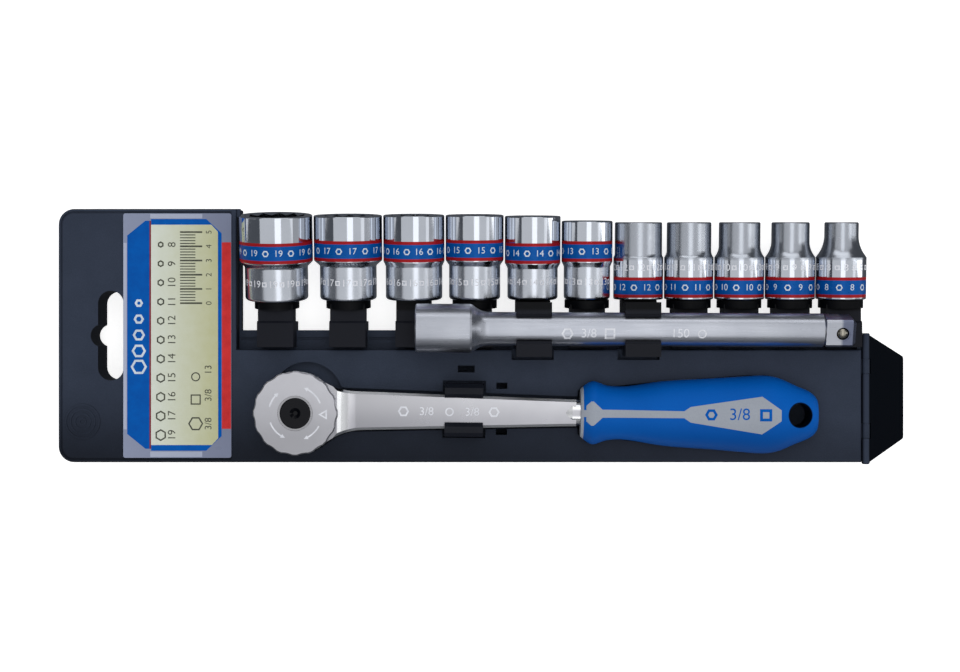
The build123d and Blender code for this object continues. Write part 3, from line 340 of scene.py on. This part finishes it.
def socket_material(jaw):
    """Chrome with a blue band between two red lines, by distance along the socket's axis."""
    foot, direction = socket_axis(jaw)
    shader = Shader(f"socket_{jaw:02d}_chrome")
    offset = shader.vector("SUBTRACT", shader.place, tuple(foot))
    along = shader.vector("DOT_PRODUCT", offset, tuple(direction))
    radius = shader.vector("LENGTH", shader.vector("CROSS_PRODUCT", offset, tuple(direction)))
    # The band is only outside, beyond the radius of the jaws or of the square's passage.
    start = BAND_START.get(jaw, SMALL_BAND_START)
    inside = jaw / 2 / cos(pi / 6) + JAW_WALL if jaw in LARGE else SMALL_PASSAGE_RADIUS
    outside = shader.math("GREATER_THAN", radius, inside * MM)

    def between(low, high):
        above = shader.math("GREATER_THAN", along, low * MM)
        below = shader.math("LESS_THAN", along, high * MM)
        return shader.math("MULTIPLY", shader.math("MULTIPLY", above, below), outside)

    on_band = between(start, start + BAND_WIDTH)
    on_blue = between(start + BAND_LINE, start + BAND_WIDTH - BAND_LINE)
    smear = shader.noise(120.0, 4.0, 0.6)
    chrome = shader.mix(smear, CHROME_DARK, CHROME_LIGHT)
    colour = shader.mix(on_band, chrome, shader.mix(on_blue, shader.mix(smear, *BAND_RED),
                                                    shader.mix(smear, *BAND_BLUE)))
    # The large sockets are satin below their step, the small ones above their band.
    if jaw in LARGE:
        satin_part = shader.span(along, (start - 1.6) * MM, (start - 0.2) * MM, 0.13, 0.0)
    else:
        neck_low, neck_high = SMALL_NECK_START
        satin_part = shader.span(along, neck_low * MM, neck_high * MM, 0.0, 0.17)
        colour = shader.mix(shader.span(along, neck_low * MM, neck_high * MM), colour, SATIN_NECK)
    gloss = shader.math("ADD", shader.span(smear, 0.3, 0.7, 0.05, 0.11), satin_part)
    gloss = shader.math("ADD", gloss, shader.math("MULTIPLY", on_band, 0.2))
    hair = shader.noise(1400.0, 2.0, 0.5, stretch=(1.0, 0.05, 1.0))
    shader.relief(hair, 0.12, 0.000004)
    metal = shader.span(on_band, 0.0, 1.0, 1.0, 0.2)
    return shader.finish(Base_Color=colour, Roughness=gloss, Metallic=metal, Specular_IOR_Level=0.14)


def tray_material():
    """The rack's plastic: bluish dark grey, with a sparked grain, a few handling marks, painted light on its top
    and painted shade on its walls.
    """
    shader = Shader("tray_plastic", Specular_IOR_Level=0.11)
    slow = shader.noise(16.0, 3.0)
    cloud = shader.noise(110.0, 4.0, 0.65)
    fine = shader.noise(2000.0, 3.0, 0.65)
    speck = shader.span(shader.cells(420.0), 0.02, 0.10, 1.0, 0.0)
    shade = shader.math("ADD", shader.math("MULTIPLY", slow, 0.4), shader.math("MULTIPLY", fine, 0.35))
    shade = shader.math("ADD", shade, shader.math("MULTIPLY", cloud, 0.25))
    # Painted light: its top is paler towards the rail and the far end, where the tools throw light back on it.
    painted_light_rise = shader.across("Y", TRAY_SHADE_Y, smooth=True)
    painted_light_rise = shader.math("ADD", painted_light_rise, shader.across("X", TRAY_SHADE_X, 0.0, 0.5))
    painted_light_rise = shader.span(painted_light_rise, 0.0, 1.0)
    low = shader.mix(shader.span(shade, 0.3, 0.7), rgb(14, 19, 29), rgb(26, 32, 44))
    high = shader.mix(shader.span(shade, 0.3, 0.7), rgb(38, 46, 60), rgb(54, 62, 79))
    colour = shader.mix(painted_light_rise, low, high)
    colour = shader.mix(shader.math("MULTIPLY", speck, 0.08), colour, rgb(86, 94, 110))
    # Painted shade: faces that turn away from up are darkened.
    colour = shader.mix(shader.facing_up(0.2, 0.9), rgb(15, 19, 27), colour)
    shader.relief(fine, 0.55, 0.00005)
    return shader.finish(Base_Color=colour, Roughness=shader.span(shade, 0.3, 0.7, 0.44, 0.58))


def flap_material():
    """The flap's plastic: its plate in painted deep shade, its hinge knuckles like the rack's with painted light
    by which way they face.
    """
    shader = Shader("flap_plastic", Specular_IOR_Level=0.05)
    slow = shader.noise(22.0, 3.0)
    fine = shader.noise(1900.0, 3.0, 0.6)
    # Painted shade: the plate is near black.
    plate = shader.mix(slow, rgb(0, 2, 8), rgb(3, 8, 16))
    # Painted highlight on the knuckles' faces that look up, painted shade on the rest.
    knuckle_painted_light = shader.mix(shader.facing_up(0.3, 0.95), rgb(12, 15, 22), rgb(50, 57, 72))
    from_edge = shader.math("SUBTRACT", shader.axis("X"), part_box("end_flap")[0].x)
    shader.relief(fine, 0.5, 0.00002)
    on_plate = shader.span(from_edge, FLAP_KNUCKLE_END[0] * MM, FLAP_KNUCKLE_END[1] * MM)
    return shader.finish(Base_Color=shader.mix(on_plate, knuckle_painted_light, plate),
                         Roughness=shader.span(slow, 0.3, 0.7, 0.46, 0.58))


def post_material():
    """The posts' plastic, with painted shade deepest at the collars under the sockets."""
    shader = Shader("post_plastic", Specular_IOR_Level=0.12)
    slow = shader.noise(40.0, 3.0)
    fine = shader.noise(1900.0, 3.0, 0.6)
    front = shader.mix(slow, rgb(18, 20, 27), rgb(27, 29, 37))
    # Painted shade: the collars under the sockets are near black.
    collar_painted_shade = shader.mix(slow, rgb(2, 3, 6), rgb(5, 7, 11))
    shader.relief(fine, 0.5, 0.00003)
    return shader.finish(Base_Color=shader.mix(shader.across("Y", COLLAR_FRONT_Y), front, collar_painted_shade),
                         Roughness=shader.span(slow, 0.3, 0.7, 0.42, 0.54))


materials = {
    "tray_plastic": tray_material(),
    "flap_plastic": flap_material(),
    "clip_plastic": moulded("clip_plastic", rgb(15, 18, 26), rgb(25, 28, 37), 0.40, 0.00002, specular=0.14),
    "post_plastic": post_material(),
    "card": board("card_board", rgb(138, 146, 170), rgb(120, 127, 150), 0.3),
    "bar_satin": bar_material(),
    "ratchet_chrome": ratchet_material(),
    "dial_satin": dial_material(),
    "gear_steel": satin("gear_steel", (0.42, 0.42, 0.44), (0.52, 0.52, 0.54), 0.28),
    "ball_steel": satin("ball_steel", (0.30, 0.28, 0.23), (0.42, 0.39, 0.33), 0.2, stretch=(1.0, 1.0, 1.0)),
    "spring_steel": satin("spring_steel", (0.40, 0.40, 0.42), (0.55, 0.55, 0.57), 0.3),
    "button_black": moulded("button_black", rgb(1, 2, 7), rgb(6, 7, 13), 0.22, 0.00001, specular=0.25),
    "core_grey": moulded("core_grey", rgb(142, 148, 158), rgb(156, 162, 172), 0.45, 0.00003),
    "grip_blue": grip_material(),
}
slot_of = {part["node"]: part["material_slot"] for part in record["subparts"]}
for name, node in nodes.items():
    slot = slot_of[name]
    made = socket_material(int(name[-2:])) if slot == "socket_chrome" else materials[slot]
    if not node.material_slots:
        node.data.materials.append(made)
    for material_slot in node.material_slots:
        material_slot.material = made


# ---- The spring under the release button, a copy of its CAD node on the drive gear's body -----
spring = bpy.data.objects.new("release_spring_coils", nodes["release_spring"].data.copy())
scene.collection.objects.link(spring)
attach(spring, "drive_gear")
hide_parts("release_spring")
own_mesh(spring)


# ---- Print and etching laid on the CAD nodes --------------------------------------------------
PRINT_DEPTH = 0.05 * MM
NUMERAL_SHARE = 0.70  # a numeral's height as a share of the font's size


def number_mesh(text, height):
    """Flat numerals of a given height, centred on the origin and facing +Z."""
    curve = bpy.data.curves.new("numerals", "FONT")
    curve.body = text
    curve.size = height / NUMERAL_SHARE
    curve.align_x = "CENTER"
    curve.align_y = "CENTER"
    holder = bpy.data.objects.new("numerals", curve)
    scene.collection.objects.link(holder)
    bpy.context.view_layer.update()
    mesh = bpy.data.meshes.new_from_object(holder)
    bpy.data.objects.remove(holder)
    bpy.data.curves.remove(curve)
    return mesh


def cut_up(made, step):
    """Cuts a flat mesh along lines a step apart, so that it can follow a curved surface."""
    for axis in (0, 1):
        places = [vertex.co[axis] for vertex in made.verts]
        normal = (1.0, 0.0, 0.0) if axis == 0 else (0.0, 1.0, 0.0)
        place = min(places) + step
        while place < max(places):
            parts = made.verts[:] + made.edges[:] + made.faces[:]
            bmesh.ops.bisect_plane(made, geom=parts, plane_co=tuple(place * value for value in normal),
                                   plane_no=normal)
            place += step


def printed(name, polygons, numbers, spot, material, body, lift=0.02, step=None):
    """Thin print on a surface: polygons of (x, y) in mm and (text, height, x, y, turn) numerals.
    spot(x, y) gives the surface's point and outward direction there, lift how proud it stands."""
    made = bmesh.new()
    for polygon in polygons:
        made.faces.new([made.verts.new((x, y, 0.0)) for x, y in polygon])
    for text, height, x, y, turn in numbers:
        digits = number_mesh(text, height)
        digits.transform(Matrix.Translation((x, y, 0.0)) @ Matrix.Rotation(radians(turn), 4, "Z"))
        made.from_mesh(digits)
        bpy.data.meshes.remove(digits)
    if step:
        cut_up(made, step)
    for face in made.faces:
        face.normal_update()
        if face.normal.z < 0:
            face.normal_flip()
    tops = list(made.faces)
    rims = [edge for edge in made.edges if edge.is_boundary]
    feet = {}
    for vertex in list(made.verts):
        point, outward = spot(vertex.co.x * MM, vertex.co.y * MM)
        vertex.co = point + outward * lift * MM
        feet[vertex] = point + outward * (lift * MM - PRINT_DEPTH)
    for vertex, place in feet.items():
        feet[vertex] = made.verts.new(place)
    for edge in rims:
        face = edge.link_faces[0]
        loop = next(corner for corner in face.loops if corner.edge == edge)
        first, second = loop.vert, loop.link_loop_next.vert
        made.faces.new((second, first, feet[first], feet[second]))
    for face in tops:
        made.faces.new([feet[vertex] for vertex in reversed(face.verts)])
    mesh = bpy.data.meshes.new(name)
    made.to_mesh(mesh)
    made.free()
    mesh.materials.append(material)
    piece = bpy.data.objects.new(name, mesh)
    scene.collection.objects.link(piece)
    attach(piece, body)
    return piece


def ring_of(x, y, across, width, sides=6, turn=0.0):
    """Outline of a regular shape as a ring of quads: its width across flats, its line's width."""
    outer = across / 2 / cos(pi / sides)
    inner = outer - width / cos(pi / sides)
    quads = []
    for i in range(sides):
        angles = (turn + 2 * pi * i / sides, turn + 2 * pi * (i + 1) / sides)
        far = [(x + outer * cos(angle), y + outer * sin(angle)) for angle in angles]
        near = [(x + inner * cos(angle), y + inner * sin(angle)) for angle in reversed(angles)]
        quads.append(far + near)
    return quads


def arc_arrow(x, y, radius, start, end, width, head):
    """A curved arrow as quads along its arc and a triangle for its head; angles in degrees."""
    count = 10  # quads along the arc
    angles = [radians(start + (end - start) * i / count) for i in range(count + 1)]
    quads = []
    for first, second in zip(angles, angles[1:]):
        quads.append([(x + reach * cos(angle), y + reach * sin(angle)) for reach, angle in (
            (radius - width / 2, first), (radius + width / 2, first),
            (radius + width / 2, second), (radius - width / 2, second))])
    tip = radians(end) + (1 if end > start else -1) * head / radius
    last = angles[-1]
    quads.append([(x + reach * cos(angle), y + reach * sin(angle)) for reach, angle in (
        (radius - head / 2, last), (radius + head / 2, last), (radius, tip))])
    return quads


def flat_at(height):
    """Spots on a level face at a height in mm."""
    return lambda x, y: (Vector((x, y, height * MM)), Vector((0.0, 0.0, 1.0)))


def draped_on(node_name):
    """Spots on top of a CAD node, found by looking straight down on it."""
    mesh = nodes[node_name].data
    tree = BVHTree.FromPolygons([vertex.co for vertex in mesh.vertices],
                                [tuple(face.vertices) for face in mesh.polygons])
    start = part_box(node_name)[1].z + 10 * MM

    def spot(x, y):
        point, normal = tree.ray_cast(Vector((x, y, start)), Vector((0.0, 0.0, -1.0)))[:2]
        return point, normal if normal.z > 0 else -normal
    return spot


def wrapped_on(jaw, radius, along):
    """Spots round a socket: x goes round it from its top, y goes along its axis."""
    foot, up = socket_axis(jaw)
    right = Vector((1.0, 0.0, 0.0))
    facing = right.cross(up)

    def spot(x, y):
        angle = x / (radius * MM)
        outward = right * sin(angle) + facing * cos(angle)
        return foot + up * (along * MM + y) + outward * radius * MM, outward
    return spot


PRINT_WHITE = paint("print_white", rgb(190, 202, 214), rgb(214, 222, 230), 0.4)
PRINT_BLUE = paint("print_blue", rgb(0, 80, 164), rgb(0, 88, 174), 0.5, specular=0.06)
PRINT_RED = paint("print_red", rgb(188, 28, 30), rgb(206, 40, 40), 0.34)
PRINT_MAROON = paint("print_maroon", rgb(112, 34, 48), rgb(134, 44, 56), 0.34)
PRINT_DARK = paint("print_dark", rgb(62, 64, 56), rgb(84, 86, 72), 0.4)
PRINT_CREAM = board("print_cream", rgb(222, 229, 226), rgb(184, 185, 143))
PRINT_SILVER = board("print_silver", rgb(172, 178, 198), rgb(158, 165, 186))
ETCHED = paint("etched_steel", rgb(212, 214, 221), rgb(226, 228, 234), 0.6)

# Sockets: the size round the band between hexagon outlines, and again etched below or above it.
BAND_PITCH = 4.2
BAND_NUMERAL = 2.2
ETCHED_PITCH = 6.2
ETCHED_NUMERAL = 2.4
ETCHED_COUNT = 7
LARGE_ETCHED_AT = 6.4
SMALL_ETCHED_AT = 11.3
for jaw in JAWS:
    low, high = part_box(f"socket_{jaw:02d}")
    widest = (high.x - low.x) / 2 / MM
    around = 2 * pi * widest
    count = int(around / BAND_PITCH / 2) * 2
    pitch = around / count
    places = [pitch * (i - 0.5) for i in range(count)]
    start = BAND_START.get(jaw, SMALL_BAND_START)
    hexagons = [quad for place in places[0::2] for quad in ring_of(place, 0.0, 2.1, 0.42)]
    sizes = [(str(jaw), BAND_NUMERAL, place, 0.0, 0.0) for place in places[1::2]]
    printed(f"band_size_{jaw:02d}", hexagons, sizes, wrapped_on(jaw, widest, start + BAND_WIDTH / 2),
            PRINT_WHITE, f"socket_{jaw:02d}", step=0.6)
    turns = [ETCHED_PITCH * (i - ETCHED_COUNT // 2) for i in range(ETCHED_COUNT)]
    marks = [(str(jaw), ETCHED_NUMERAL, turn, 0.0, 0.0) for turn in turns]
    squares = [quad for turn in turns for quad in ring_of(turn + ETCHED_PITCH / 2, 0.0, 1.7, 0.4, 4, pi / 4)]
    etched_at = LARGE_ETCHED_AT if jaw in LARGE else SMALL_ETCHED_AT
    printed(f"etched_size_{jaw:02d}", squares, marks, wrapped_on(jaw, DRIVE_WIDTH[jaw] / 2, etched_at),
            ETCHED, f"socket_{jaw:02d}", lift=0.015, step=0.5)

# Card: blue strip with hexagon outlines, cream field with a size key and a scale, red strip.
# Its shapes are in mm from the card's near left corner.
card_low, card_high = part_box("label_card")
card_x, card_y = card_low.x / MM, card_low.y / MM
card_top = card_high.z / MM


def on_card(name, shapes, numbers, material, layer):
    """Print on the card, each layer a little above the one below it."""
    moved = [[(card_x + x, card_y + y) for x, y in shape] for shape in shapes]
    placed = [(text, height, card_x + x, card_y + y, turn) for text, height, x, y, turn in numbers]
    printed(name, moved, placed, flat_at(card_top), material, "rack", lift=0.02 + 0.03 * layer)


on_card("card_silver", [[(9.5, 0.3), (27.8, 0.3), (27.8, 2.2), (9.5, 2.2)],
                        [(9.5, 84.2), (27.8, 84.2), (27.8, 85.8), (9.5, 85.8)],
                        [(0.1, 10.0), (1.2, 10.0), (1.2, 75.6), (0.1, 75.6)]], [], PRINT_SILVER, 0)
on_card("card_blue", [[(1.4, 8.4), (7.8, 3.2), (9.2, 3.2), (9.2, 83.4), (7.8, 83.4), (1.4, 78.2)],
                      [(9.8, 2.5), (29.2, 2.5), (34.6, 7.6), (34.6, 79.0), (29.2, 84.0), (9.8, 84.0)]],
        [], PRINT_BLUE, 0)
on_card("card_line", [[(9.2, 3.2), (9.8, 3.2), (9.8, 83.4), (9.2, 83.4)]], [], PRINT_MAROON, 0)
on_card("card_field", [[(9.8, 4.5), (31.2, 4.5), (33.4, 6.9), (33.3, 79.5), (31.0, 82.0), (9.8, 82.0)]],
        [], PRINT_CREAM, 1)
on_card("card_red", [[(34.7, 10.2), (37.9, 10.2), (37.9, 75.8), (34.7, 75.8)]], [], PRINT_RED, 0)
emblems = []
for i, across in enumerate((5.0, 4.4, 3.8, 3.2, 2.6)):
    emblems += ring_of(5.5, 32.0 + 5.6 * i, across, 0.75)
on_card("card_emblems", emblems, [], PRINT_WHITE, 1)

# Size key: a hexagon and its number for each socket.
UPWARDS = 90.0  # turn of the card's numbers, in degrees
key = []
key_numbers = []
for i, jaw in enumerate(JAWS):
    y = 8.0 + 6.7 * i
    key += ring_of(13.2, y, 0.15 * jaw + 0.8, 0.5, turn=pi / 6)
    key_numbers.append((str(jaw), 2.7, 17.2, y, UPWARDS))

# Scale: a tick each mm and a longer, bolder one with a number each fifth.
SCALE_START = 54.4
SCALE_X = 20.0
ticks = []
for i in range(26):
    end_x, half = (27.8, 0.30) if i % 5 == 0 else (25.4, 0.18)
    y = SCALE_START + i
    ticks.append([(SCALE_X, y - half), (end_x, y - half), (end_x, y + half), (SCALE_X, y + half)])
scale_numbers = [(str(i), 2.0, 30.2, SCALE_START + 5 * i, UPWARDS) for i in range(6)]

# Piece key: a hexagon, a square and a ring with plain numbers.
piece_key = ring_of(25.5, 12.0, 4.6, 0.5)
piece_key += ring_of(25.5, 20.5, 3.6, 0.45, 4, pi / 4)
piece_key += ring_of(25.5, 28.5, 3.2, 0.4, 24)
piece_numbers = [(text, 2.4, 30.0, y, UPWARDS) for text, y in (("3/8", 12.0), ("3/8", 22.0), ("13", 31.0))]
on_card("card_key", key + ticks + piece_key, key_numbers + scale_numbers + piece_numbers, PRINT_DARK, 2)

# Ratchet and bar: curved arrows on the dial, the drive size etched on the shank and on the bar, which
# also has its length, and printed on the handle's inlay. Places are in mm in the CAD frame.
dial_low, dial_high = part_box("selector_dial")
dial_x, dial_y = (dial_low.x + dial_high.x) / 2 / MM, (dial_low.y + dial_high.y) / 2 / MM
arrows = []
for radius, start, end in ((9.1, 166, 138), (9.1, 200, 238), (9.3, 22, 62), (9.3, -28, -62)):
    arrows += arc_arrow(dial_x, dial_y, radius, start, end, 0.5, 1.5)
arrows += ring_of(dial_x + 10.0, dial_y - 0.4, 2.0, 0.5, 3, pi)
printed("dial_arrows", arrows, [], draped_on("selector_dial"), ETCHED, "selector_dial")
shank_marks = ring_of(-28.5, -26.0, 3.4, 0.6)
shank_marks += ring_of(-12.5, -26.2, 3.0, 0.5, 24)
shank_marks += ring_of(3.0, -26.3, 3.4, 0.6)
printed("shank_marks", shank_marks, [("3/8", 2.8, -20.5, -26.1, 0.0), ("3/8", 2.8, -4.6, -26.3, 0.0)],
        draped_on("ratchet_body"), ETCHED, "ratchet", lift=0.012)
bar_marks = ring_of(28.0, 1.0, 3.6, 0.6)
bar_marks += ring_of(42.5, 1.0, 3.6, 0.6, 4, pi / 4)
bar_marks += ring_of(74.0, 0.9, 3.0, 0.5, 24)
printed("bar_marks", bar_marks, [("3/8", 3.0, 35.3, 1.0, 0.0), ("150", 3.0, 66.5, 1.0, 0.0)],
        draped_on("extension_bar"), ETCHED, "extension_bar", lift=0.012, step=0.5)
grip_marks = ring_of(77.9, -27.0, 3.8, 0.9) + ring_of(96.6, -27.1, 4.2, 1.0, 4, pi / 4)
printed("grip_marks", grip_marks, [("3/8", 4.0, 87.6, -27.0, 0.0)],
        draped_on("handle_core"), PRINT_BLUE, "ratchet", lift=0.02, step=0.6)


# ---- Camera, floor and lights -----------------------------------------------------------------
camera_data = bpy.data.cameras.new("camera")
camera_data.lens = 63.9
camera_data.sensor_width = 36.0
camera_data.clip_start = 0.01
camera_data.clip_end = 10.0
camera = bpy.data.objects.new("camera", camera_data)
camera.location = (-1.88 * MM, 0.2 * MM, 615 * MM)
camera.rotation_euler = (0.0, 0.0, 0.0)
scene.collection.objects.link(camera)
scene.camera = camera


def floor():
    """Pale paper just under the set, which lights it but isn't seen in the chrome."""
    made = bmesh.new()
    half = 2.2
    depth = 0.0002
    square = ((-half, -half), (half, -half), (half, half), (-half, half))
    made.faces.new([made.verts.new((x, y, -depth)) for x, y in square])
    mesh = bpy.data.meshes.new("floor")
    made.to_mesh(mesh)
    made.free()
    shader = Shader("floor_paper", Specular_IOR_Level=0.1)
    tone = shader.noise(3.0, 2.0)
    mesh.materials.append(shader.finish(
        Base_Color=shader.mix(tone, (0.66, 0.66, 0.665), (0.72, 0.72, 0.72)), Roughness=0.9,
        Emission_Color=(1.0, 1.0, 1.0), Emission_Strength=0.78))
    piece = bpy.data.objects.new("floor", mesh)
    piece.visible_glossy = False
    scene.collection.objects.link(piece)


floor()


def softbox(name, place, target, width, height, power, in_chrome=True):
    """A rectangular light that faces its target, and whether the chrome mirrors it."""
    data = bpy.data.lights.new(name, "AREA")
    data.shape = "RECTANGLE"
    data.size = width
    data.size_y = height
    data.energy = power
    light = bpy.data.objects.new(name, data)
    light.visible_glossy = in_chrome
    light.location = place
    direction = Vector(target) - Vector(place)
    light.rotation_euler = direction.to_track_quat("-Z", "Y").to_euler()
    scene.collection.objects.link(light)


# One wide box over the set, a brighter strip in it, and narrow strips to the sides that give the
# chrome its dark and bright stripes. The fill only lightens what is dull.
softbox("overhead", (0.25, -0.05, 0.75), (0.25, -0.05, 0.0), 2.1, 1.8, 6.6)
softbox("overhead_strip", (0.10, 0.0, 0.72), (0.10, 0.0, 0.0), 0.26, 1.8, 1.1)
softbox("right_grey", (1.10, 0.0, 0.30), (0.0, 0.0, 0.03), 0.40, 1.2, 0.5)
softbox("right_strip", (1.05, 0.0, 0.42), (0.0, 0.0, 0.03), 0.07, 1.2, 0.40)
softbox("left_strip", (-1.15, 0.0, 0.10), (0.0, 0.0, 0.03), 0.12, 1.2, 0.3)
softbox("near_strip", (0.0, -1.3, 0.55), (0.0, 0.0, 0.0), 1.6, 0.5, 0.5)
softbox("far_strip", (0.0, 1.3, 0.65), (0.0, 0.0, 0.0), 1.6, 0.5, 3.4)
softbox("fill", (0.0, 0.0, 0.90), (0.0, 0.0, 0.0), 2.4, 2.0, 6.0, in_chrome=False)

world = bpy.data.worlds.new("studio")
world.use_nodes = True
world.node_tree.nodes["Background"].inputs["Color"].default_value = (0.85, 0.90, 1.0, 1.0)
world.node_tree.nodes["Background"].inputs["Strength"].default_value = 0.10
scene.world = world
scene.view_settings.view_transform = "Standard"
